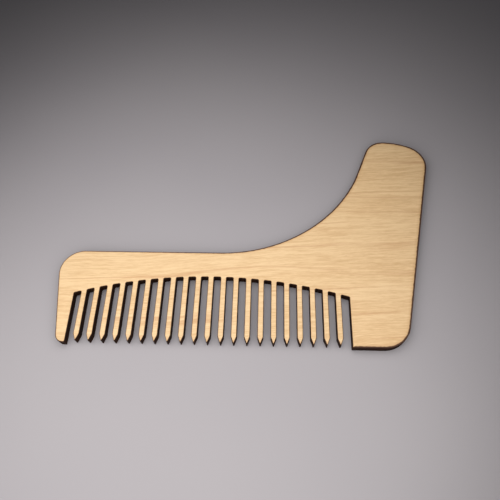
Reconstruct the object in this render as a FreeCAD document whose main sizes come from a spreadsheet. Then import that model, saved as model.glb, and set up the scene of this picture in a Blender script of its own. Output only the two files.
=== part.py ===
import FreeCAD, Part
import math
import os

import Sketcher

# Beard comb: a flat comb with a jaw-line edge, laser cut from three-ply birch plywood.
#
# The five layers are made as the sheet is pressed: back face veneer, glue film, core
# veneer with its grain across the others, glue film, front face veneer. One cutting
# profile goes through all of them.
#
# The profile is drawn lying flat, in millimetres. X runs along the spine from the end
# land to the handle, and the teeth point to -Y. In the drawing, x = 0 is the inner edge
# of the end land, and y = 0 is the base line that the end land and the heel reach.
# The finished comb lies on its back face, with the middle of its outline at the origin.

# Lengths in millimetres, angles in degrees from square to the spine.
SIZES = {
    # sheet, from the outside in
    "faceVeneer": 0.7,
    "glueFilm": 0.1,
    "coreVeneer": 1.4,
    # teeth
    "toothCount": 21,
    "toothWidth": 1.95,
    "slotWidth": 2.35,
    "lastSlotWidth": 2.75,    # the slot beside the heel
    "tipLift": 0.7,           # the points stop short of the base line
    "tipLength": 2.25,        # height of the tapered point
    "tipFlat": 0.3,           # width left at the end of the point
    "rootCrown": 23.9,        # slot depth in the middle of the row
    "rootEnd": 17.3,          # slot depth at both ends of the row
    "rootFillet": 0.35,
    # end land
    "landFoot": 3.15,         # width on the base line, before its toe is rounded
    "landLean": 8.3,
    "landToeRadius": 2.7,
    "landTopRadius": 8.0,
    # spine, handle and horn
    "spineTop": 33.3,
    "heelFoot": 17.65,        # width on the base line, before the heel is rounded
    "heelRadius": 9.0,
    "backLean": 11.7,
    "gripWidth": 31.45,       # width of the handle, level with the spine's top
    "hornLean": 20.5,
    "hornStraight": 10.5,     # straight stretch between the jaw curve and the horn's top
    "hornTop": 82.8,
    "hornInnerRadius": 7.4,
    "hornOuterRadius": 9.3,
    "crownRadius": 26.1,
    "crownInset": 18.45,      # from the back edge's line to the highest point
}

# Distances that follow from the sizes, as expressions on the sheet.
PITCH = "(Sizes.toothWidth + Sizes.slotWidth)"
HEEL_X = "(Sizes.toothCount * " + PITCH + " + Sizes.lastSlotWidth)"
ANCHOR_Y = "((Sizes.rootCrown + Sizes.spineTop) / 2)"

CUT_PAST = 5.0            # how far the tooth gap's cut runs out past the base line
UP = FreeCAD.Vector(0, 0, 1)

# A sketch's own origin and axes, and the named points of a line or an arc.
AXIS_X = -1
AXIS_Y = -2
ORIGIN = (-1, 1)
START = 1
END = 2
CENTRE = 3


def make_sheet(doc):
    sheet = doc.addObject("Spreadsheet::Sheet", "Sizes")
    for row, (alias, value) in enumerate(SIZES.items(), start=1):
        sheet.set("A%d" % row, alias)
        sheet.set("B%d" % row, str(value))
        sheet.setAlias("B%d" % row, alias)
    doc.recompute()


def heel_start():
    """Where the heel's inner edge is along X, by the sizes above."""
    pitch = SIZES["toothWidth"] + SIZES["slotWidth"]
    return SIZES["toothCount"] * pitch + SIZES["lastSlotWidth"]


def origin_feature(body, role):
    for feature in body.Origin.OriginFeatures:
        if feature.Role == role:
            return feature
    raise RuntimeError("the body has no " + role)


def new_sketch(body, name):
    sketch = body.newObject("Sketcher::SketchObject", name)
    sketch.AttachmentSupport = [(origin_feature(body, "XY_Plane"), "")]
    sketch.MapMode = "FlatFace"
    return sketch


def towards(start, degrees, distance):
    """The point at a distance from start, in a direction in degrees from +X."""
    radians = math.radians(degrees)
    return start + FreeCAD.Vector(math.cos(radians), math.sin(radians), 0) * distance


def add_line(sketch, start, end):
    return sketch.addGeometry(Part.LineSegment(start, end), False)


def add_arc(sketch, centre, radius, first, last):
    """An arc that runs counter-clockwise between two directions in degrees."""
    circle = Part.Circle(centre, UP, radius)
    arc = Part.ArcOfCircle(circle, math.radians(first), math.radians(last))
    return sketch.addGeometry(arc, False)


def add_mark(sketch, place, *lines):
    """A construction point on the extensions of some lines."""
    mark = sketch.addGeometry(Part.Point(place), True)
    for line in lines:
        sketch.addConstraint(Sketcher.Constraint("PointOnObject", mark, START, line))
    return (mark, START)


def drive(sketch, kind, *where, to, value):
    """Add a dimension, with its first value, and tie it to an expression."""
    index = sketch.addConstraint(Sketcher.Constraint(kind, *where, value))
    sketch.setExpression("Constraints[%d]" % index, to)


def join(sketch, kind, *pairs):
    """Join ends of neighbouring lines and arcs: Coincident, or Tangent as well."""
    for first, second in pairs:
        sketch.addConstraint(Sketcher.Constraint(kind, *first, *second))


def corner_centre(crown, crown_radius, edge_point, edge_degrees, radius):
    """Centre of the arc that rounds a straight edge into the crown, inside both."""
    start = edge_point - crown
    direction = towards(FreeCAD.Vector(), edge_degrees, 1.0)
    middle = start.dot(direction)
    gap = start.dot(start) - (crown_radius - radius) ** 2
    return edge_point + direction * (math.sqrt(middle ** 2 - gap) - middle)


def degrees_of(vector):
    return math.degrees(math.atan2(vector.y, vector.x))


def draw_outline(body):
    """The comb's outer edge, with the gap for the teeth still filled."""
    size = SIZES
    lean_in = math.radians(size["hornLean"])
    lean_out = math.radians(size["backLean"])
    lean_end = math.radians(size["landLean"])

    # Where each edge is to start with. The dimensions below hold it there.
    heel_x = heel_start()
    back_foot = FreeCAD.Vector(heel_x + size["heelFoot"], 0, 0)
    back_grip = back_foot + FreeCAD.Vector(math.tan(lean_out), 1, 0) * size["spineTop"]
    back_top = back_foot + FreeCAD.Vector(math.tan(lean_out), 1, 0) * size["hornTop"]
    jaw_corner = back_grip - FreeCAD.Vector(size["gripWidth"], 0, 0)
    land_foot = FreeCAD.Vector(-size["landFoot"], 0, 0)
    land_up = FreeCAD.Vector(-math.tan(lean_end), 1, 0)

    back_out = -size["backLean"]
    horn_out = 180 - size["hornLean"]
    land_out = 180 + size["landLean"]

    crown = back_top - FreeCAD.Vector(size["crownInset"], size["crownRadius"], 0)
    outer = corner_centre(
        crown, size["crownRadius"],
        towards(back_foot, back_out + 180, size["hornOuterRadius"]),
        90 - size["backLean"], size["hornOuterRadius"])
    inner = corner_centre(
        crown, size["crownRadius"],
        towards(jaw_corner, horn_out + 180, size["hornInnerRadius"]),
        90 - size["hornLean"], size["hornInnerRadius"])
    outer_meets = degrees_of(outer - crown)
    inner_meets = degrees_of(inner - crown)

    horn_high = towards(inner, horn_out, size["hornInnerRadius"])
    horn_low = towards(horn_high, horn_out + 90, size["hornStraight"])
    jaw_reach = horn_low.distanceToPoint(jaw_corner)
    jaw_radius = jaw_reach * math.tan((math.pi / 2 + lean_in) / 2)
    jaw = jaw_corner + FreeCAD.Vector(-jaw_reach, jaw_radius, 0)

    heel_radius = size["heelRadius"]
    heel = back_foot + FreeCAD.Vector(math.tan(lean_out), 1, 0) * heel_radius
    heel.x -= heel_radius / math.cos(lean_out)
    toe = land_foot + land_up * size["landToeRadius"]
    toe.x += size["landToeRadius"] / math.cos(lean_end)
    shoulder = land_foot + land_up * (size["spineTop"] - size["landTopRadius"])
    shoulder.x += size["landTopRadius"] / math.cos(lean_end)

    sketch = new_sketch(body, "Outline")
    base_line = add_line(
        sketch, towards(toe, 270, size["landToeRadius"]), towards(heel, 270, heel_radius))
    heel_arc = add_arc(sketch, heel, heel_radius, 270, 360 + back_out)
    back_line = add_line(
        sketch, towards(heel, back_out, heel_radius),
        towards(outer, back_out, size["hornOuterRadius"]))
    outer_arc = add_arc(sketch, outer, size["hornOuterRadius"], back_out, outer_meets)
    crown_arc = add_arc(sketch, crown, size["crownRadius"], outer_meets, inner_meets)
    inner_arc = add_arc(sketch, inner, size["hornInnerRadius"], inner_meets, horn_out)
    horn_line = add_line(sketch, horn_high, horn_low)
    jaw_arc = add_arc(sketch, jaw, jaw_radius, -90, horn_out - 180)
    spine_line = add_line(
        sketch, towards(jaw, 270, jaw_radius), towards(shoulder, 90, size["landTopRadius"]))
    shoulder_arc = add_arc(sketch, shoulder, size["landTopRadius"], 90, land_out)
    land_line = add_line(
        sketch, towards(shoulder, land_out, size["landTopRadius"]),
        towards(toe, land_out, size["landToeRadius"]))
    toe_arc = add_arc(sketch, toe, size["landToeRadius"], land_out, 270)

    join(sketch, "Tangent",
         ((base_line, END), (heel_arc, START)),
         ((heel_arc, END), (back_line, START)),
         ((back_line, END), (outer_arc, START)),
         ((outer_arc, END), (crown_arc, START)),
         ((crown_arc, END), (inner_arc, START)),
         ((inner_arc, END), (horn_line, START)),
         ((horn_line, END), (jaw_arc, END)),
         ((jaw_arc, START), (spine_line, START)),
         ((spine_line, END), (shoulder_arc, START)),
         ((shoulder_arc, END), (land_line, START)),
         ((land_line, END), (toe_arc, START)),
         ((toe_arc, END), (base_line, START)))
    sketch.addConstraint(Sketcher.Constraint("Horizontal", base_line))
    sketch.addConstraint(Sketcher.Constraint("Horizontal", spine_line))
    sketch.addConstraint(Sketcher.Constraint("PointOnObject", base_line, START, AXIS_X))

    for arc, alias in ((heel_arc, "heelRadius"), (outer_arc, "hornOuterRadius"),
                       (crown_arc, "crownRadius"), (inner_arc, "hornInnerRadius"),
                       (shoulder_arc, "landTopRadius"), (toe_arc, "landToeRadius")):
        drive(sketch, "Radius", arc, to="Sizes." + alias, value=size[alias])
    drive(sketch, "Distance", horn_line, to="Sizes.hornStraight", value=size["hornStraight"])
    drive(sketch, "DistanceY", *ORIGIN, spine_line, START,
          to="Sizes.spineTop", value=size["spineTop"])
    drive(sketch, "Angle", back_line, to="90 - Sizes.backLean",
          value=math.pi / 2 - lean_out)
    drive(sketch, "Angle", horn_line, to="-90 - Sizes.hornLean",
          value=-math.pi / 2 - lean_in)
    drive(sketch, "Angle", land_line, to="-90 + Sizes.landLean",
          value=-math.pi / 2 + lean_end)

    # Sharp corners that the edges would meet at, which carry the widths.
    back_foot_mark = add_mark(sketch, back_foot, back_line, AXIS_X)
    back_grip_mark = add_mark(sketch, back_grip, back_line, spine_line)
    back_top_mark = add_mark(sketch, back_top, back_line)
    jaw_corner_mark = add_mark(sketch, jaw_corner, horn_line, spine_line)
    land_foot_mark = add_mark(sketch, land_foot, land_line, AXIS_X)
    drive(sketch, "DistanceX", *ORIGIN, *back_foot_mark,
          to=HEEL_X + " + Sizes.heelFoot", value=back_foot.x)
    drive(sketch, "DistanceX", *land_foot_mark, *ORIGIN,
          to="Sizes.landFoot", value=size["landFoot"])
    drive(sketch, "DistanceX", *jaw_corner_mark, *back_grip_mark,
          to="Sizes.gripWidth", value=size["gripWidth"])
    drive(sketch, "DistanceY", *ORIGIN, *back_top_mark,
          to="Sizes.hornTop", value=size["hornTop"])
    drive(sketch, "DistanceX", crown_arc, CENTRE, *back_top_mark,
          to="Sizes.crownInset", value=size["crownInset"])
    drive(sketch, "DistanceY", crown_arc, CENTRE, *back_top_mark,
          to="Sizes.crownRadius", value=size["crownRadius"])
    return sketch


def draw_tooth_gap(body):
    """The open space that the teeth stand in, under the arc of the slot roots."""
    size = SIZES
    heel_x = heel_start()
    rise = size["rootCrown"] - size["rootEnd"]
    root_radius = ((heel_x / 2) ** 2 + rise ** 2) / (2 * rise)
    centre = FreeCAD.Vector(heel_x / 2, size["rootCrown"] - root_radius, 0)
    low_left = FreeCAD.Vector(0, -CUT_PAST, 0)
    low_right = FreeCAD.Vector(heel_x, -CUT_PAST, 0)
    high_left = FreeCAD.Vector(0, size["rootEnd"], 0)
    high_right = FreeCAD.Vector(heel_x, size["rootEnd"], 0)

    sketch = new_sketch(body, "ToothGap")
    land_side = add_line(sketch, high_left, low_left)
    open_side = add_line(sketch, low_left, low_right)
    heel_side = add_line(sketch, low_right, high_right)
    root_arc = add_arc(sketch, centre, root_radius,
                       degrees_of(high_right - centre), degrees_of(high_left - centre))

    join(sketch, "Coincident",
         ((land_side, END), (open_side, START)),
         ((open_side, END), (heel_side, START)),
         ((heel_side, END), (root_arc, START)),
         ((root_arc, END), (land_side, START)))
    sketch.addConstraint(Sketcher.Constraint("Vertical", land_side))
    sketch.addConstraint(Sketcher.Constraint("Vertical", heel_side))
    sketch.addConstraint(Sketcher.Constraint("Horizontal", open_side))
    sketch.addConstraint(Sketcher.Constraint("PointOnObject", land_side, START, AXIS_Y))
    sketch.addConstraint(
        Sketcher.Constraint("Horizontal", land_side, START, heel_side, END))
    crown_mark = add_mark(sketch, centre + FreeCAD.Vector(0, root_radius, 0), root_arc)
    sketch.addConstraint(Sketcher.Constraint("Vertical", root_arc, CENTRE, *crown_mark))

    sketch.addConstraint(
        Sketcher.Constraint("DistanceY", open_side, START, *ORIGIN, CUT_PAST))
    drive(sketch, "DistanceX", *ORIGIN, heel_side, END, to=HEEL_X, value=heel_x)
    drive(sketch, "DistanceY", *ORIGIN, heel_side, END,
          to="Sizes.rootEnd", value=size["rootEnd"])
    drive(sketch, "DistanceY", *ORIGIN, *crown_mark,
          to="Sizes.rootCrown", value=size["rootCrown"])
    return sketch


def draw_tooth(body):
    """The first tooth: a straight strip with a tapered point, rooted in the spine."""
    size = SIZES
    left = size["slotWidth"]
    right = left + size["toothWidth"]
    middle = (left + right) / 2
    anchor = (size["rootCrown"] + size["spineTop"]) / 2
    taper = (size["toothWidth"] - size["tipFlat"]) / 2
    neck = size["tipLift"] + size["tipLength"]
    corners = [
        FreeCAD.Vector(left, anchor, 0),
        FreeCAD.Vector(left, neck, 0),
        FreeCAD.Vector(middle - size["tipFlat"] / 2, size["tipLift"], 0),
        FreeCAD.Vector(middle + size["tipFlat"] / 2, size["tipLift"], 0),
        FreeCAD.Vector(right, neck, 0),
        FreeCAD.Vector(right, anchor, 0),
    ]

    sketch = new_sketch(body, "Tooth")
    sides = []
    for start, end in zip(corners, corners[1:] + corners[:1]):
        sides.append(add_line(sketch, start, end))
    left_side, left_taper, tip, right_taper, right_side, root = sides
    for side, following in zip(sides, sides[1:] + sides[:1]):
        join(sketch, "Coincident", ((side, END), (following, START)))
    sketch.addConstraint(Sketcher.Constraint("Vertical", left_side))
    sketch.addConstraint(Sketcher.Constraint("Vertical", right_side))
    sketch.addConstraint(Sketcher.Constraint("Horizontal", tip))
    sketch.addConstraint(Sketcher.Constraint("Horizontal", root))
    sketch.addConstraint(
        Sketcher.Constraint("Horizontal", left_side, END, right_side, START))

    drive(sketch, "DistanceX", *ORIGIN, left_side, START,
          to="Sizes.slotWidth", value=left)
    drive(sketch, "DistanceX", left_side, END, right_side, START,
          to="Sizes.toothWidth", value=size["toothWidth"])
    drive(sketch, "DistanceX", tip, START, tip, END,
          to="Sizes.tipFlat", value=size["tipFlat"])
    drive(sketch, "DistanceX", left_taper, START, left_taper, END,
          to="(Sizes.toothWidth - Sizes.tipFlat) / 2", value=taper)
    drive(sketch, "DistanceY", *ORIGIN, tip, START,
          to="Sizes.tipLift", value=size["tipLift"])
    drive(sketch, "DistanceY", tip, START, left_side, END,
          to="Sizes.tipLength", value=size["tipLength"])
    drive(sketch, "DistanceY", *ORIGIN, left_side, START, to=ANCHOR_Y, value=anchor)
    return sketch


def root_corners(shape):
    """Names of the upright edges in the corners where the slots end."""
    heel_x = heel_start()
    margin = SIZES["rootFillet"] / 2
    names = []
    for number, edge in enumerate(shape.Edges, start=1):
        bottom = edge.Vertexes[0].Point
        top = edge.Vertexes[-1].Point
        upright = abs((top - bottom).normalize().z) > 0.99
        in_row = -margin < bottom.x < heel_x + margin
        at_root = SIZES["rootEnd"] - margin < bottom.y < SIZES["rootCrown"] + margin
        if upright and in_row and at_root:
            names.append("Edge%d" % number)
    expected = 2 * (SIZES["toothCount"] + 1)
    if len(names) != expected:
        raise RuntimeError("%d slot corners, not %d" % (len(names), expected))
    return names


def make_layer(doc, label, thickness):
    """One veneer or glue film of the sheet, cut to the comb's profile."""
    body = doc.addObject("PartDesign::Body", label)
    body.Label = label

    blank = body.newObject("PartDesign::Pad", "Blank")
    blank.Profile = draw_outline(body)
    blank.setExpression("Length", thickness)
    doc.recompute()
    blank_volume = blank.Shape.Volume

    gap = body.newObject("PartDesign::Pocket", "CutToothGap")
    gap.Profile = draw_tooth_gap(body)
    gap.Reversed = True
    gap.setExpression("Length", thickness)
    doc.recompute()
    if gap.Shape.Volume > 0.9 * blank_volume:
        raise RuntimeError(label + ": the gap for the teeth wasn't cut")

    tooth = body.newObject("PartDesign::Pad", "ToothPad")
    tooth.Profile = draw_tooth(body)
    tooth.setExpression("Length", thickness)
    doc.recompute()

    row = body.newObject("PartDesign::LinearPattern", "ToothRow")
    row.Originals = [tooth]
    row.Direction = (origin_feature(body, "X_Axis"), [""])
    row.setExpression("Length", PITCH + " * (Sizes.toothCount - 1)")
    row.setExpression("Occurrences", "Sizes.toothCount")
    body.Tip = row
    doc.recompute()

    corners = body.newObject("PartDesign::Fillet", "RootCorners")
    corners.Base = (row, root_corners(row.Shape))
    corners.setExpression("Radius", "Sizes.rootFillet")
    body.Tip = corners
    doc.recompute()
    return body


def stack_layers(doc):
    """Make the layers from the back face up, each resting on the one before."""
    layers = (
        ("back_face_veneer", "Sizes.faceVeneer"),
        ("back_glue_film", "Sizes.glueFilm"),
        ("core_veneer", "Sizes.coreVeneer"),
        ("front_glue_film", "Sizes.glueFilm"),
        ("front_face_veneer", "Sizes.faceVeneer"),
    )
    bodies = []
    level = "0"
    for label, thickness in layers:
        body = make_layer(doc, label, thickness)
        box = body.Shape.optimalBoundingBox(False, False)
        middle = FreeCAD.Vector(box.Center.x, box.Center.y, 0)
        body.Placement = FreeCAD.Placement(-middle, FreeCAD.Rotation())
        body.setExpression("Placement.Base.z", level)
        level = level + " + " + thickness
        bodies.append(body)
    doc.recompute()
    return bodies


def check(doc, bodies):
    for item in doc.Objects:
        if "Invalid" in item.State or "Error" in item.State:
            raise RuntimeError(item.Name + " failed: " + ", ".join(item.State))
    for body in bodies:
        shape = body.Shape
        if shape.isNull() or not shape.isValid() or len(shape.Solids) != 1:
            raise RuntimeError(body.Label + " isn't one valid solid")


def main():
    doc = FreeCAD.newDocument("BeardComb")
    make_sheet(doc)
    bodies = stack_layers(doc)
    check(doc, bodies)
    os.makedirs("parts", exist_ok=True)
    for body in bodies:
        body.Shape.exportStep(os.path.join("parts", body.Label + ".step"))
        print(body.Label, "volume %.1f mm3" % body.Shape.Volume)


main()
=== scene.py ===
import math

import bmesh
import bpy
from mathutils import Matrix, Vector, geometry, kdtree, noise


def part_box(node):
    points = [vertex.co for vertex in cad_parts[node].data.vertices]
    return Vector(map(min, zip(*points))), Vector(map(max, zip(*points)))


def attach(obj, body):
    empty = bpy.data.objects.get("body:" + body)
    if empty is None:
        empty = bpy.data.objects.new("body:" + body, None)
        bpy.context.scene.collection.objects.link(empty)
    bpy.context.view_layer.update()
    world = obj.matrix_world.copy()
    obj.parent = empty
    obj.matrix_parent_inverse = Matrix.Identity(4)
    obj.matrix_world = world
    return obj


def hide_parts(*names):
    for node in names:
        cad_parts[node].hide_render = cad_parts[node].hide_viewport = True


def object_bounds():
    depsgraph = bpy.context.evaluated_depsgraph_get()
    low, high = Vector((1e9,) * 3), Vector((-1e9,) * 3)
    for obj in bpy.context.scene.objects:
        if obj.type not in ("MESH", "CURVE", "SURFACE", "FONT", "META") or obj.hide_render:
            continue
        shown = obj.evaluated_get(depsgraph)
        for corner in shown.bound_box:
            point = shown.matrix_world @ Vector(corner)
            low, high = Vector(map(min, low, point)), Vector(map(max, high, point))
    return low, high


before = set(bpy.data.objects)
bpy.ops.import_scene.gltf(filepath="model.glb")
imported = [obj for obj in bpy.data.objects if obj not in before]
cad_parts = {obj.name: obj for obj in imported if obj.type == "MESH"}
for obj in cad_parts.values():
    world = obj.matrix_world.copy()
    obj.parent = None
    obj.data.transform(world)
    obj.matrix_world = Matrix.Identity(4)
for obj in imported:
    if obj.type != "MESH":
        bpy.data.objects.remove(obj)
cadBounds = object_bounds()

# A laser-cut beard comb in three-ply birch, built over its CAD frame.
# Shapes are worked out in millimetres and written to the meshes in metres.
mm = 0.001


def lowOf(nodeName):
    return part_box(nodeName)[0] / mm


def highOf(nodeName):
    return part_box(nodeName)[1] / mm


sheet = {
    "bottom": lowOf("back_face_veneer").z,
    "backJoint": highOf("back_face_veneer").z,
    "coreBottom": lowOf("core_veneer").z,
    "coreTop": highOf("core_veneer").z,
    "frontJoint": lowOf("front_face_veneer").z,
    "top": highOf("front_face_veneer").z,
}


# The cut line is read from the frame. Its packed arcs are chords, so each chord
# is bent back to the arc that it stands for before points are spaced along it.
cutLine = {
    "spacing": 0.5,        # mm between points along the cut
    "softTurn": 15,        # degrees, a turn under this belongs to an arc
    "hardCorner": 30,      # degrees, a turn over this is a crisp arris on the wall
    "alike": 0.02,         # share by which two chords of one arc may differ in length
    "leastBend": 1e-4,     # radians, a chord that bends less is a straight run
    "weld": 1e-6,          # metres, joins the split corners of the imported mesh
    "faceUp": 0.9,         # a face whose normal rises more than this is the upper one
}


def rimOf(nodeName):
    # corners of a node's outline, counter-clockwise round its upper face
    mesh = bmesh.new()
    mesh.from_mesh(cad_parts[nodeName].data)
    bmesh.ops.remove_doubles(mesh, verts=mesh.verts, dist=cutLine["weld"])
    mesh.normal_update()
    mesh.verts.index_update()
    follows = {}
    for face in mesh.faces:
        for loop in face.loops:
            beside = loop.link_loop_radial_next.face
            if face.normal.z > cutLine["faceUp"] > beside.normal.z:
                follows[loop.vert.index] = loop.link_loop_next.vert.index
    order = [min(follows)]
    while follows[order[-1]] != order[0]:
        order.append(follows[order[-1]])
    mesh.verts.ensure_lookup_table()
    rim = [mesh.verts[number].co.xy / mm for number in order]
    mesh.free()
    return rim


def turned(vector, angle):
    return Matrix.Rotation(angle, 2) @ vector


def turnBetween(first, second):
    return math.atan2(first.x * second.y - first.y * second.x, first.dot(second))


def bendOf(number, sides, turns):
    # the angle that one side of the rim stands for, or 0 when it is a straight run
    after = (number + 1) % len(sides)
    for neighbour, turn in ((after, turns[after]), (number - 1, turns[number])):
        difference = abs(sides[neighbour].length / sides[number].length - 1)
        isSoft = abs(turn) < math.radians(cutLine["softTurn"])
        if isSoft and difference < cutLine["alike"]:
            return turn
    return 0.0


def traceCut(nodeName):
    # points on the true outline, each with its outward direction and corner angle
    rim = rimOf(nodeName)
    count = len(rim)
    sides = [rim[(i + 1) % count] - rim[i] for i in range(count)]
    turns = [turnBetween(sides[i - 1], sides[i]) for i in range(count)]
    bends = [bendOf(i, sides, turns) for i in range(count)]
    points = []
    for i in range(count):
        heading = turned(sides[i].normalized(), -bends[i] / 2)
        arriving = turned(sides[i - 1].normalized(), bends[i - 1] / 2)
        inward = turned(heading, math.pi / 2)
        steps = max(1, math.ceil(sides[i].length / cutLine["spacing"]))
        for step in range(steps):
            share = step / steps
            place = rim[i] + sides[i] * share
            if abs(bends[i]) > cutLine["leastBend"]:
                radius = sides[i].length / (2 * math.sin(bends[i] / 2))
                place = rim[i] + (inward - turned(inward, bends[i] * share)) * radius
            tangent = turned(heading, bends[i] * share)
            corner = 0.0
            if step == 0:
                corner = turnBetween(arriving, tangent)
                tangent = (tangent + arriving).normalized()
            points.append((place, turned(tangent, -math.pi / 2), corner))
    return points


outline = traceCut("front_face_veneer")
edgeTree = kdtree.KDTree(len(outline))
for number, (place, outward, corner) in enumerate(outline):
    edgeTree.insert(place.to_3d(), number)
edgeTree.balance()
print("cut line traced:", len(outline), "points")


def gapToEdge(point):
    # mm from a point on the face to the cut, square to the nearest stretch of it
    nearest = edgeTree.find(point.to_3d())[1]
    gaps = []
    for number in (nearest - 1, nearest):
        start = outline[number][0]
        side = outline[(number + 1) % len(outline)][0] - start
        share = max(0.0, min(1.0, (point - start).dot(side) / side.length_squared))
        gaps.append((start + side * share - point).length)
    return min(gaps)


def isInside(point):
    place, outward, corner = outline[edgeTree.find(point.to_3d())[1]]
    return (point - place).dot(outward) < 0


# The burnt wall stands a little inside the drawn line. All these amounts are
# assumed, as usual for laser-cut birch: they are too small to have been measured.
burn = {
    "kerfTaper": 0.02,       # mm lost at the top, as if the beam went in there
    "topRound": 0.045,       # mm off the burnt upper arris
    "topRoundDepth": 0.12,
    "backRound": 0.03,       # mm off the crisper lower arris
    "backRoundDepth": 0.07,
    "coreHollow": 0.03,      # mm, the core burns back between its glue lines
    "filmRecess": 0.025,     # mm, the glue shrinks from the heat
    "wander": 0.025,         # mm of uneven burning along the cut
    "wanderLength": 1.7,     # mm
    "wanderFade": 0.6,       # how fast the finer waves in it die away
    "wanderOctaves": 2,
}


def arris(distance, depth, size):
    # quarter-round loss: size at the arris, nothing from depth on
    reach = max(0.0, 1 - distance / depth)
    return size * (1 - math.sqrt(max(0.0, 1 - reach * reach)))


def setBack(place, height, isFilm):
    loss = burn["kerfTaper"] * (height - sheet["bottom"]) / (sheet["top"] - sheet["bottom"])
    loss += arris(sheet["top"] - height, burn["topRoundDepth"], burn["topRound"])
    loss += arris(height - sheet["bottom"], burn["backRoundDepth"], burn["backRound"])
    if sheet["coreBottom"] < height < sheet["coreTop"]:
        across = (height - sheet["coreBottom"]) / (sheet["coreTop"] - sheet["coreBottom"])
        loss += burn["coreHollow"] * math.sin(math.pi * across) ** 0.5
    if isFilm:
        loss += burn["filmRecess"]
    spot = Vector((place.x, place.y, height / 2)) / burn["wanderLength"]
    waves = noise.fractal(spot, burn["wanderFade"], 2.0, burn["wanderOctaves"])
    return loss + burn["wander"] * (0.5 + 0.5 * waves)


# The dark rim on the faces is laser scorch, thin beside the slots. Along the outer profile it
# widens from the left end to the right, away from the lamp, and that widening is painted
# shadow; these widths are chosen for the look.
scorchAndShade = {
    "slotReach": 0.12,       # mm of rim beside a slot
    # the outer reach and its growth from left to right are painted shadow on top of the scorch
    "outerReach": 0.62,      # mm of rim at the right end of the outer profile
    "leftShare": 0.3,        # how much of it there is at the left end
    "rowSideRoom": 0.5,      # mm beside the row of slots that still count as in it
    "rowTopRoom": 0.1,       # mm above it
    "tipRoom": 5.0,          # mm up from the teeth's tips where no slot has ended yet
    "facesDown": 0.9,        # an edge that faces down more than this ends a slot
}


def slotRow():
    # the left, right and top of the row of slots, from their closed ends
    tipLine = lowOf("front_face_veneer").y + scorchAndShade["tipRoom"]
    ends = [place for place, outward, corner in outline
            if -outward.y > scorchAndShade["facesDown"] and place.y > tipLine]
    xs = [place.x for place in ends]
    return min(xs), max(xs), max(place.y for place in ends)


rowLeft, rowRight, rowTop = slotRow()
leftEnd, rightEnd = lowOf("front_face_veneer").x, highOf("front_face_veneer").x


def scorchAndShadeGap(point, height):
    # how far a point on a face is from the cut, where 1 is the end of the dark rim of scorch
    # and painted shadow
    nearest = outline[edgeTree.find(point.to_3d())[1]][0]
    room = scorchAndShade["rowSideRoom"]
    besideSlots = rowLeft - room < nearest.x < rowRight + room
    if besideSlots and nearest.y < rowTop + scorchAndShade["rowTopRoom"]:
        reach = scorchAndShade["slotReach"]
    else:
        # along the outer profile the rim widens towards the right end: painted shadow on top
        # of the scorch
        along = (nearest.x - leftEnd) / (rightEnd - leftEnd)
        share = scorchAndShade["leftShare"] + along * (1.0 - scorchAndShade["leftShare"])
        reach = scorchAndShade["outerReach"] * share
    return max(0.0, gapToEdge(point) - setBack(nearest, height, False)) / reach


# Points inside an outer face: rings that follow the cut, so that its rim of scorch and painted
# shadow fades evenly, and an open grid in the middle.
facePoints = {
    "rings": (0.28, 0.5, 0.8),    # mm in from the cut
    "ringSpacing": 0.6,
    "gridSpacing": 1.5,
    "gridMargin": 1.2,            # mm, the grid keeps this far from the cut
    "closest": 0.3,               # mm, about the least room between two points
    "ringSlack": 0.97,            # share of its inset that a ring's point must keep
}


def pointsInFace():
    kept = []
    taken = set()

    def offer(point):
        cell = (round(point.x / facePoints["closest"]), round(point.y / facePoints["closest"]))
        if cell not in taken:
            taken.add(cell)
            kept.append(point)

    every = max(1, round(facePoints["ringSpacing"] / cutLine["spacing"]))
    for inset in facePoints["rings"]:
        for place, outward, corner in outline[::every]:
            point = place - outward * inset
            if gapToEdge(point) > facePoints["ringSlack"] * inset:
                offer(point)
    low = lowOf("front_face_veneer").xy
    high = highOf("front_face_veneer").xy
    rowHeight = facePoints["gridSpacing"] * math.sqrt(3) / 2
    for row in range(math.ceil((high.y - low.y) / rowHeight)):
        for column in range(math.ceil((high.x - low.x) / facePoints["gridSpacing"])):
            x = low.x + (column + 0.5 * (row % 2)) * facePoints["gridSpacing"]
            point = Vector((x, low.y + row * rowHeight))
            if isInside(point) and gapToEdge(point) > facePoints["gridMargin"]:
                offer(point)
    return kept


innerPoints = pointsInFace()
print("face points set out:", len(innerPoints))


mendGap = 1e-5    # mm, points nearer than this count as one


def closeLayer(mesh, ring, inner, height, facesUp):
    # fills the ring with triangles that run through the inner points
    corners = [vert.co.xy / mm for vert in ring]
    count = len(ring)
    border = [(i, (i + 1) % count) for i in range(count)]
    mended = geometry.delaunay_2d_cdt(corners + inner, border, [], 0, mendGap, True)
    points, triangles, sources = mended[0], mended[2], mended[3]
    verts = []
    places = []
    for point, origins in zip(points, sources):
        onRing = [origin for origin in origins if origin < count]
        places.append(onRing[0] if onRing else None)
        if onRing:
            verts.append(ring[onRing[0]])
        else:
            verts.append(mesh.verts.new((point.x * mm, point.y * mm, height * mm)))
    for triangle in triangles:
        order = [places[i] for i in triangle]
        if None not in order:
            # between three points of the ring, one that runs backwards lies outside it
            first, second, third = (corners[i] for i in sorted(order))
            if (second - first).cross(third - first) <= 0:
                continue
        picked = [verts[i] for i in triangle]
        mesh.faces.new(picked if facesUp else picked[::-1])


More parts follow.
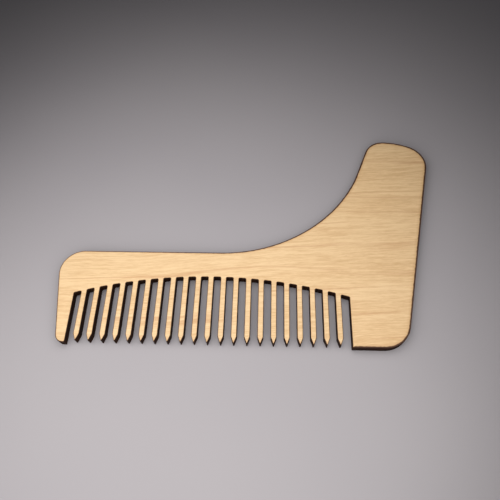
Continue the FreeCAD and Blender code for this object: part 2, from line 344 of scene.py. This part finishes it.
def buildLayer(pieceName, nodeName, heights, openFace=None, isFilm=False):
    # one closed layer of the sheet, its wall cut into bands at the rising heights;
    # openFace names the side that shows, "top" or "bottom"
    mesh = bmesh.new()
    rings = []
    for height in heights:
        recessed = isFilm and heights[0] < height < heights[-1]
        ring = []
        for place, outward, corner in outline:
            spot = place - outward * setBack(place, height, recessed)
            ring.append(mesh.verts.new((spot.x * mm, spot.y * mm, height * mm)))
        rings.append(ring)
    count = len(outline)
    for lower, upper in zip(rings, rings[1:]):
        for i in range(count):
            j = (i + 1) % count
            band = mesh.faces.new((lower[i], lower[j], upper[j], upper[i]))
            band.smooth = True
            band.material_index = 1
            if abs(outline[i][2]) > math.radians(cutLine["hardCorner"]):
                mesh.edges.get((lower[i], upper[i])).smooth = False
    closeLayer(mesh, rings[0], innerPoints if openFace == "bottom" else [], heights[0], False)
    closeLayer(mesh, rings[-1], innerPoints if openFace == "top" else [], heights[-1], True)

    data = bpy.data.meshes.new(pieceName)
    mesh.to_mesh(data)
    mesh.free()
    gaps = data.attributes.new("scorchAndShadeGap", "FLOAT", "POINT")
    wallVerts = count * len(heights)
    for vert in data.vertices[wallVerts:]:
        gaps.data[vert.index].value = scorchAndShadeGap(vert.co.xy / mm, vert.co.z / mm)
    piece = bpy.data.objects.new(pieceName, data)
    bpy.context.scene.collection.objects.link(piece)
    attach(piece, "root")
    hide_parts(nodeName)
    print("layer built:", pieceName, len(data.polygons), "faces")
    return piece


class Wire:
    # one socket of a material, so that its maths reads as plain sums
    def __init__(self, tree, socket=None):
        self.tree = tree
        self.socket = socket

    def add(self, kind, settings, sockets, output=0):
        node = self.tree.nodes.new(kind)
        for name, value in settings.items():
            setattr(node, name, value)
        for name, value in sockets.items():
            if isinstance(value, Wire):
                self.tree.links.new(value.socket, node.inputs[name])
            else:
                node.inputs[name].default_value = value
        return Wire(self.tree, node.outputs[output] if node.outputs else None)

    def part(self, axis):
        return self.add("ShaderNodeSeparateXYZ", {}, {"Vector": self}, axis)

    def maths(self, operation, first, second=0.0):
        return self.add("ShaderNodeMath", {"operation": operation}, {0: first, 1: second})

    def __add__(self, other):
        return self.maths("ADD", self, other)

    def __radd__(self, other):
        return self.maths("ADD", other, self)

    def __sub__(self, other):
        return self.maths("SUBTRACT", self, other)

    def __rsub__(self, other):
        return self.maths("SUBTRACT", other, self)

    def __mul__(self, other):
        return self.maths("MULTIPLY", self, other)

    def __rmul__(self, other):
        return self.maths("MULTIPLY", other, self)


def tone(red, green, blue):
    # a colour given as it looks on a screen, 0 to 255, as the shader's linear values
    linear = [((c / 255 + 0.055) / 1.055) ** 2.4 for c in (red, green, blue)]
    return (*linear, 1.0)


def newMaterial(name):
    material = bpy.data.materials.new(name)
    material.use_nodes = True
    material.node_tree.nodes.clear()
    return material, Wire(material.node_tree)


def finishMaterial(start, sockets):
    shader = start.add("ShaderNodeBsdfPrincipled", {}, sockets)
    start.add("ShaderNodeOutputMaterial", {}, {"Surface": shader})


def placeInMm(start):
    place = start.add("ShaderNodeTexCoord", {}, {}, "Object")
    return start.add("ShaderNodeVectorMath", {"operation": "SCALE"},
                     {0: place, "Scale": 1 / mm})


def alongGrain(axis, length, width):
    # the size of a patch that is drawn out along the fibres
    return (length, width, width) if axis == "X" else (width, length, width)


def patches(place, mark, axis=None):
    # noise around 0 whose patches have the mark's size in mm: along X, Y and Z, or
    # with an axis their length along the fibres and their width across them
    size = mark["size"] if axis is None else alongGrain(axis, *mark["size"])
    inverse = tuple(1 / side for side in size)
    shift = (mark["shift"],) * 3
    cells = place.add("ShaderNodeMapping", {},
                      {"Vector": place, "Location": shift, "Scale": inverse})
    cloud = place.add("ShaderNodeTexNoise", {},
                      {"Vector": cells, "Scale": 1.0, "Detail": mark.get("detail", 2.0)})
    return cloud - 0.5


def eased(value, low, high):
    # 0 at low, 1 at high, and smooth between
    sockets = {"Value": value, "From Min": low, "From Max": high}
    return value.add("ShaderNodeMapRange", {"interpolation_type": "SMOOTHSTEP"}, sockets)


def mixed(factor, first, second):
    # the sockets of the Mix node by number, since its colour sockets share their names
    sockets = {0: factor, 6: first, 7: second}
    return factor.add("ShaderNodeMix", {"data_type": "RGBA"}, sockets, 2)


def bumped(height, depth):
    # height is 0 to 1 and depth the relief in mm
    return height.add("ShaderNodeBump", {}, {"Height": height, "Distance": depth * mm})


# Each mark has its size in mm, a shift that keeps it apart from the others, how
# much it deepens the wood's tone, lifts its surface and dulls its shine.
birch = {
    "pale": tone(242, 209, 161),
    "deep": tone(220, 181, 131),
    "growthLine": tone(200, 147, 102),
    "fleck": tone(184, 139, 94),
    "tone": 0.42,             # the plain wood, from 0 pale to 1 deep
    "slope": 0.06,            # mm the grain climbs for each mm along the comb
    "drift": {"size": (70.0, 26.0), "shift": 3.7, "detail": 1.0, "sideways": 6.0},
    "ripple": {"size": (17.0, 5.0), "shift": 9.1, "detail": 1.0, "sideways": 0.9},
    "bands": {"size": (90.0, 6.0), "shift": 1.3, "deepens": 0.7, "dulls": 0.2},
    "streaks": {"size": (30.0, 1.3), "shift": 5.9, "detail": 3.0, "deepens": 0.7},
    "dashes": {"size": (6.0, 0.45), "shift": 8.8, "deepens": 1.3, "lifts": 0.5},
    "fibres": {"size": (2.2, 0.17), "shift": 2.4, "deepens": 1.0, "lifts": 0.8,
               "dulls": 0.25},
    "growth": 0.13,           # growth lines for each mm across the grain
    "growthWander": 1.6,      # how far the bands push those lines about
    "growthShape": (0.8, 0.95),   # where in a year's growth its line starts and peaks
    "growthGaps": {"size": (45.0, 7.0), "shift": 7.7, "range": (-0.08, 0.14)},
    "growthStrength": 0.5,
    "growthDulls": 0.05,
    "flecks": {"size": (1.5, 0.16), "shift": 4.2, "range": (0.17, 0.26),
               "strength": 0.35, "sinks": 0.3},
    "roughness": 0.5,
    "relief": 0.02,           # mm, the sanded face's texture
    "ior": 1.45,
}


def birchGrain(place, axis):
    # colour, height and roughness of sanded birch whose fibres run along the axis
    across = "Y" if axis == "X" else "X"
    along = place.part(axis)
    drift = patches(place, birch["drift"], axis) * birch["drift"]["sideways"]
    ripple = patches(place, birch["ripple"], axis) * birch["ripple"]["sideways"]
    line = place.part(across) - along * birch["slope"] + drift + ripple
    grain = place.add("ShaderNodeCombineXYZ", {},
                      {axis: along, across: line, "Z": place.part("Z")})

    depth, relief, roughness = birch["tone"], 0.5, birch["roughness"]
    for name in ("bands", "streaks", "dashes", "fibres"):
        mark = birch[name]
        cloud = patches(grain, mark, axis)
        depth = depth + cloud * mark["deepens"]
        if "lifts" in mark:
            relief = relief + cloud * mark["lifts"]
        if "dulls" in mark:
            roughness = roughness + cloud * mark["dulls"]
        if name == "bands":
            bands = cloud
    colour = mixed(eased(depth, 0.0, 1.0), birch["pale"], birch["deep"])

    growth = line * birch["growth"] + bands * birch["growthWander"]
    year = growth.maths("FRACT", growth)
    start, peak = birch["growthShape"]
    growthLine = eased(year, start, peak) * eased(year, 1.0, peak)
    gaps = birch["growthGaps"]
    shown = eased(patches(grain, gaps, axis), *gaps["range"])
    strength = growthLine * shown * birch["growthStrength"]
    colour = mixed(strength, colour, birch["growthLine"])

    flecks = birch["flecks"]
    fleck = eased(patches(grain, flecks, axis), *flecks["range"])
    colour = mixed(fleck * flecks["strength"], colour, birch["fleck"])
    relief = relief - fleck * flecks["sinks"]
    roughness = roughness + growthLine * birch["growthDulls"]
    return colour, relief, roughness


char = {
    "black": tone(26, 10, 2),
    "brown": tone(62, 33, 12),
    # the rim's colour: laser scorch, and painted shadow where the rim widens towards the right
    "edge": tone(76, 46, 27),
    "toast": tone(203, 152, 98),
    "rim": (0.6, 1.15),        # in reaches from the cut, where the dark rim fades out
    "halo": (0.7, 3.0),        # in reaches, where the toasting fades out
    "haloStrength": 0.4,
    "uneven": {"size": (1.3, 1.3, 1.3), "shift": 6.6, "reaches": 0.7},
    "rimDulls": 0.15,
    "rimSinks": 0.8,
    "beam": {"size": (0.28, 0.28, 9.0), "shift": 8.3, "lightens": 0.9, "lifts": 0.9},
    "fibres": {"size": (3.0, 0.12), "shift": 3.1, "lightens": 0.7, "lifts": 0.6,
               "dulls": 0.2},
    "soot": {"size": (3.5, 3.5, 2.0), "shift": 5.2, "lightens": 0.7, "dulls": 0.3},
    "faceTone": 0.45,          # a face veneer's wall, from 0 black to 1 brown
    "coreTone": 0.35,          # the core's
    "relief": 0.05,            # mm, the depth of the beam's marks
    "roughness": 0.78,
    "gloss": 0.12,
}


def faceMaterial():
    material, start = newMaterial("sandedBirchFace")
    place = placeInMm(start)
    colour, relief, roughness = birchGrain(place, "X")
    gap = start.add("ShaderNodeAttribute", {"attribute_name": "scorchAndShadeGap"}, {}, "Fac")
    uneven = gap + patches(place, char["uneven"]) * char["uneven"]["reaches"]
    # the dark rim and its toasted halo beside the cut: laser scorch, widened towards the right
    # end as painted shadow
    halo = 1 - eased(uneven, *char["halo"])
    rim = 1 - eased(uneven, *char["rim"])
    colour = mixed(halo * char["haloStrength"], colour, char["toast"])
    colour = mixed(rim, colour, char["edge"])
    finishMaterial(start, {
        "Base Color": colour,
        "Roughness": roughness + rim * char["rimDulls"],
        "Normal": bumped(relief - rim * char["rimSinks"], birch["relief"]),
        "IOR": birch["ior"],
    })
    return material


def coreFlatMaterial():
    material, start = newMaterial("birchCore")
    colour, relief, roughness = birchGrain(placeInMm(start), "Y")
    finishMaterial(start, {
        "Base Color": colour,
        "Roughness": roughness,
        "Normal": bumped(relief, birch["relief"]),
        "IOR": birch["ior"],
    })
    return material


def wallMaterial(name, axis, plainTone):
    # a laser-burnt wall: upright beam marks over the ends and sides of the fibres
    material, start = newMaterial(name)
    place = placeInMm(start)
    beam = patches(place, char["beam"])
    fibres = patches(place, char["fibres"], axis)
    soot = patches(place, char["soot"])
    shade = (plainTone + beam * char["beam"]["lightens"]
             + fibres * char["fibres"]["lightens"] + soot * char["soot"]["lightens"])
    height = (0.5 + beam * char["beam"]["lifts"]
              + fibres * char["fibres"]["lifts"])
    finishMaterial(start, {
        "Base Color": mixed(eased(shade, 0.0, 1.0), char["black"], char["brown"]),
        "Roughness": (char["roughness"] + soot * char["soot"]["dulls"]
                      + fibres * char["fibres"]["dulls"]),
        "Normal": bumped(height, char["relief"]),
        "Specular IOR Level": char["gloss"],
    })
    return material


glue = {
    "resin": tone(120, 74, 38),
    "burnt": tone(17, 9, 5),
    "blister": tone(44, 25, 14),
    "tone": 0.4,               # the plain film, from 0 its own colour to 1 blistered
    "blisters": {"size": (0.5, 0.5, 0.2), "shift": 2.2, "detail": 3.0,
                 "lightens": 1.2, "dulls": 0.4},
    "cloud": {"size": (6.0, 4.0, 4.0), "shift": 1.9, "lightens": 0.8},
    "roughness": 0.38,
    "relief": 0.02,            # mm
    "ior": 1.5,
}


def glueMaterial(name, dark, light):
    material, start = newMaterial(name)
    place = placeInMm(start)
    blisters = patches(place, glue["blisters"])
    cloud = patches(place, glue["cloud"])
    shade = (glue["tone"] + blisters * glue["blisters"]["lightens"]
             + cloud * glue["cloud"]["lightens"])
    finishMaterial(start, {
        "Base Color": mixed(eased(shade, 0.0, 1.0), dark, light),
        "Roughness": glue["roughness"] + blisters * glue["blisters"]["dulls"],
        "Normal": bumped(0.5 + blisters, glue["relief"]),
        "IOR": glue["ior"],
    })
    return material


def spread(low, high, shares):
    return [low + (high - low) * share for share in shares]


# Where each layer's wall is cut into bands: mm in from the comb's own face for the
# face veneers, closest at the worn arris, and shares of the layer for the others.
wallBands = {
    "back": (0.0, 0.03, burn["backRoundDepth"], 0.4),
    "front": (0.4, burn["topRoundDepth"], 0.06, 0.015, 0.0),
    "core": (0.0, 0.08, 0.5, 0.92, 1.0),
    "film": (0.0, 0.5, 1.0),
}
top = sheet["top"]
bottom = sheet["bottom"]
backHeights = [bottom + depth for depth in wallBands["back"]] + [sheet["backJoint"]]
frontHeights = [sheet["frontJoint"]] + [top - depth for depth in wallBands["front"]]
coreHeights = spread(sheet["coreBottom"], sheet["coreTop"], wallBands["core"])
backFilmHeights = spread(sheet["backJoint"], sheet["coreBottom"], wallBands["film"])
frontFilmHeights = spread(sheet["coreTop"], sheet["frontJoint"], wallBands["film"])

face = faceMaterial()
faceWall = wallMaterial("burntFaceWall", "X", char["faceTone"])
coreFlat = coreFlatMaterial()
coreWall = wallMaterial("burntCoreWall", "Y", char["coreTone"])
resin = glueMaterial("resinFilm", glue["resin"], glue["blister"])
burntResin = glueMaterial("burntResinLine", glue["burnt"], glue["blister"])
print("materials made")


def dress(piece, flat, wall):
    piece.data.materials.append(flat)
    piece.data.materials.append(wall)


backFace = buildLayer("backFaceVeneer", "back_face_veneer", backHeights, "bottom")
dress(backFace, face, faceWall)
backGlue = buildLayer("backGlueFilm", "back_glue_film", backFilmHeights, None, True)
dress(backGlue, resin, burntResin)
core = buildLayer("coreVeneer", "core_veneer", coreHeights)
dress(core, coreFlat, coreWall)
frontGlue = buildLayer("frontGlueFilm", "front_glue_film", frontFilmHeights, None, True)
dress(frontGlue, resin, burntResin)
frontFace = buildLayer("frontFaceVeneer", "front_face_veneer", frontHeights, "top")
dress(frontFace, face, faceWall)


# The floor, the light and the camera.
studio = {
    "floorSize": 3.0,                  # metres
    "floor": tone(172, 168, 171),
    "floorCloud": tone(167, 163, 167),
    "clouds": {"size": (90.0, 90.0, 90.0), "shift": 4.4, "range": (-0.3, 0.3)},
    "grit": {"size": (0.8, 0.8, 0.8), "shift": 7.1, "dulls": 0.06},
    "floorRoughness": 0.5,
    "floorRelief": 0.01,               # mm
    "lamp": (-19.0, -42.0, 60.0),      # mm, a broad soft lamp just above the comb
    "lampAim": (-12.0, -26.0),
    "lampSize": 0.23,                  # metres
    "lampPower": 0.197,                # watts
    "lampColour": (1.0, 0.975, 0.96),
    "fill": (0.92, 0.93, 1.0),
    "fillStrength": 0.04,
}
camera = {
    "aim": (-0.12, -5.35),     # mm from the middle of the comb's underside
    "distance": 181.3,         # mm
    "azimuth": 4.46,           # degrees, 0 looks along +Y
    "elevation": 62.44,
    "roll": -3.19,
    "lens": 36.45,
    "sensor": 36.0,
    "nearest": 0.01,           # metres, nothing nearer is drawn
}


def floorMaterial():
    material, start = newMaterial("satinTable")
    place = placeInMm(start)
    cloud = eased(patches(place, studio["clouds"]), *studio["clouds"]["range"])
    grit = patches(place, studio["grit"])
    finishMaterial(start, {
        "Base Color": mixed(cloud, studio["floor"], studio["floorCloud"]),
        "Roughness": studio["floorRoughness"] + grit * studio["grit"]["dulls"],
        "Normal": bumped(0.5 + grit, studio["floorRelief"]),
    })
    return material


def makeFloor():
    half = studio["floorSize"] / 2
    signs = ((-1, -1), (1, -1), (1, 1), (-1, 1))
    corners = [(half * x, half * y, bottom * mm) for x, y in signs]
    data = bpy.data.meshes.new("floor")
    data.from_pydata(corners, [], [(0, 1, 2, 3)])
    data.materials.append(floorMaterial())
    floor = bpy.data.objects.new("floor", data)
    bpy.context.scene.collection.objects.link(floor)


def facing(place, target):
    return (target - place).to_track_quat("-Z", "Y").to_matrix().to_4x4()


def makeLight():
    lamp = bpy.data.lights.new("softLamp", "AREA")
    lamp.shape = "DISK"
    lamp.size = studio["lampSize"]
    lamp.energy = studio["lampPower"]
    lamp.color = studio["lampColour"]
    holder = bpy.data.objects.new("softLamp", lamp)
    bpy.context.scene.collection.objects.link(holder)
    place = Vector(studio["lamp"]) * mm
    aim = Vector((*studio["lampAim"], bottom)) * mm
    holder.matrix_world = Matrix.Translation(place) @ facing(place, aim)
    holder.visible_camera = False
    world = bpy.data.worlds.new("studioFill")
    world.use_nodes = True
    background = world.node_tree.nodes["Background"]
    background.inputs["Color"].default_value = (*studio["fill"], 1.0)
    background.inputs["Strength"].default_value = studio["fillStrength"]
    bpy.context.scene.world = world


def makeCamera():
    lens = bpy.data.cameras.new("viewer")
    lens.lens = camera["lens"]
    lens.sensor_width = camera["sensor"]
    lens.clip_start = camera["nearest"]
    holder = bpy.data.objects.new("viewer", lens)
    bpy.context.scene.collection.objects.link(holder)
    azimuth = math.radians(camera["azimuth"])
    elevation = math.radians(camera["elevation"])
    level = Vector((math.sin(azimuth), -math.cos(azimuth), 0)) * math.cos(elevation)
    back = level + Vector((0, 0, math.sin(elevation)))
    low, high = cadBounds
    middle = Vector(((low.x + high.x) / 2, (low.y + high.y) / 2, low.z))
    aim = middle + Vector((*camera["aim"], 0)) * mm
    place = aim + back * camera["distance"] * mm
    roll = Matrix.Rotation(math.radians(camera["roll"]), 4, "Z")
    holder.matrix_world = Matrix.Translation(place) @ facing(place, aim) @ roll
    bpy.context.scene.camera = holder
    bpy.context.scene.view_settings.view_transform = "Standard"


makeFloor()
makeLight()
makeCamera()
print("floor, light and camera set")

bpy.context.view_layer.update()
